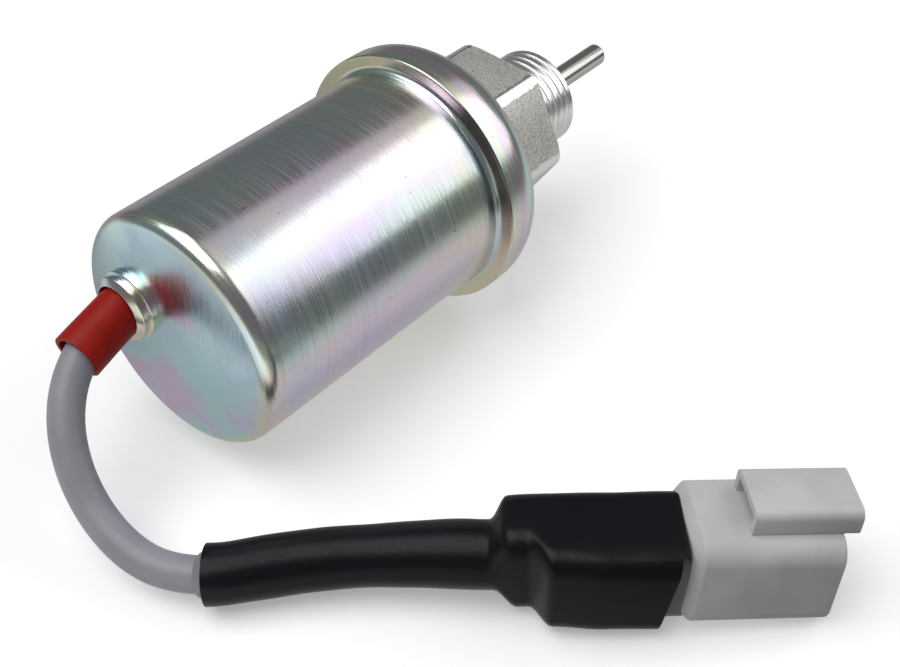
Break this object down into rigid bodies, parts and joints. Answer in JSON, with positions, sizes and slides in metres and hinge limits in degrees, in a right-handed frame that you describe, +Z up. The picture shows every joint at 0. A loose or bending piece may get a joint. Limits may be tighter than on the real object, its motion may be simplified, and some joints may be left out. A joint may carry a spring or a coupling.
{
  "type": "fuel shutoff solenoid",
  "caption": "Can-shaped fuel shutoff solenoid with a threaded hexagon nose, a sliding push pin and a short grey cable to a sealed receptacle.",
  "frame": {"origin": "centre of the hexagon's front seat face, at the root of the threaded stud", "axes": "+X along the solenoid's axis towards the tip of the push pin, +Z up with the solenoid lying on its side"},
  "size_m": [0.1634, 0.1414, 0.0549],
  "materials": {
    "zinc_plate": "zinc plated with a clear iridescent passivate, fine turned grain",
    "blasted_steel": "fine blasted steel, bright where it was turned afterwards",
    "ground_steel": "ground and polished",
    "soft_iron": "turned, plain",
    "spring_steel": "bright drawn wire",
    "guide_brass": "drawn tube",
    "bronze": "sintered",
    "spool_nylon": "moulded",
    "copper": "enamelled winding wire",
    "coil_tape": "polyester tape",
    "black_rubber": "moulded nitrile",
    "white_nylon": "moulded",
    "red_silicone": "matt silicone",
    "grey_pvc": "smooth extruded sheath",
    "lead_pvc": "wire insulation",
    "tinned_copper": "tinned crimp",
    "shrink_black": "satin heat-shrink",
    "shrink_adhesive": "hot-melt adhesive",
    "grey_nylon": "moulded, fine satin",
    "orange_nylon": "moulded",
    "seal_silicone": "moulded silicone"
  },
  "bodies": {
    "solenoid": {"housing_can": "zinc_plate", "mounting_body": "blasted_steel", "rim_seal": "black_rubber", "guide_tube": "guide_brass", "stop_washer": "white_nylon", "bearing_bush": "bronze", "pin_wiper": "black_rubber", "return_spring": "spring_steel", "bobbin": "spool_nylon", "coil_winding": "copper", "coil_tape": "coil_tape", "rear_plate": "soft_iron", "rear_pole": "soft_iron", "coil_washer": "spring_steel", "cable_eyelet": "zinc_plate", "cable_sleeve": "red_silicone", "cable_retainer": "white_nylon", "lead_a": "lead_pvc", "lead_b": "lead_pvc", "splice_a": "tinned_copper", "splice_b": "tinned_copper", "cable_jacket": "grey_pvc", "conductor_a": "lead_pvc", "conductor_b": "lead_pvc", "heat_shrink": "shrink_black", "shrink_bead": "shrink_adhesive", "connector_housing": "grey_nylon", "contact_a": "tinned_copper", "contact_b": "tinned_copper", "wedge_lock": "orange_nylon", "wire_seal": "seal_silicone"},
    "plunger_set": {"plunger": "soft_iron", "push_pin": "ground_steel"}
  },
  "joints": [
    {"name": "plunger_travel", "type": "slide", "parent": "solenoid", "child": "plunger_set", "axis": [1, 0, 0], "range_m": [-0.01, 0], "stiffness_N_per_m": 1200, "deforming": ["return_spring"]}
  ]
}
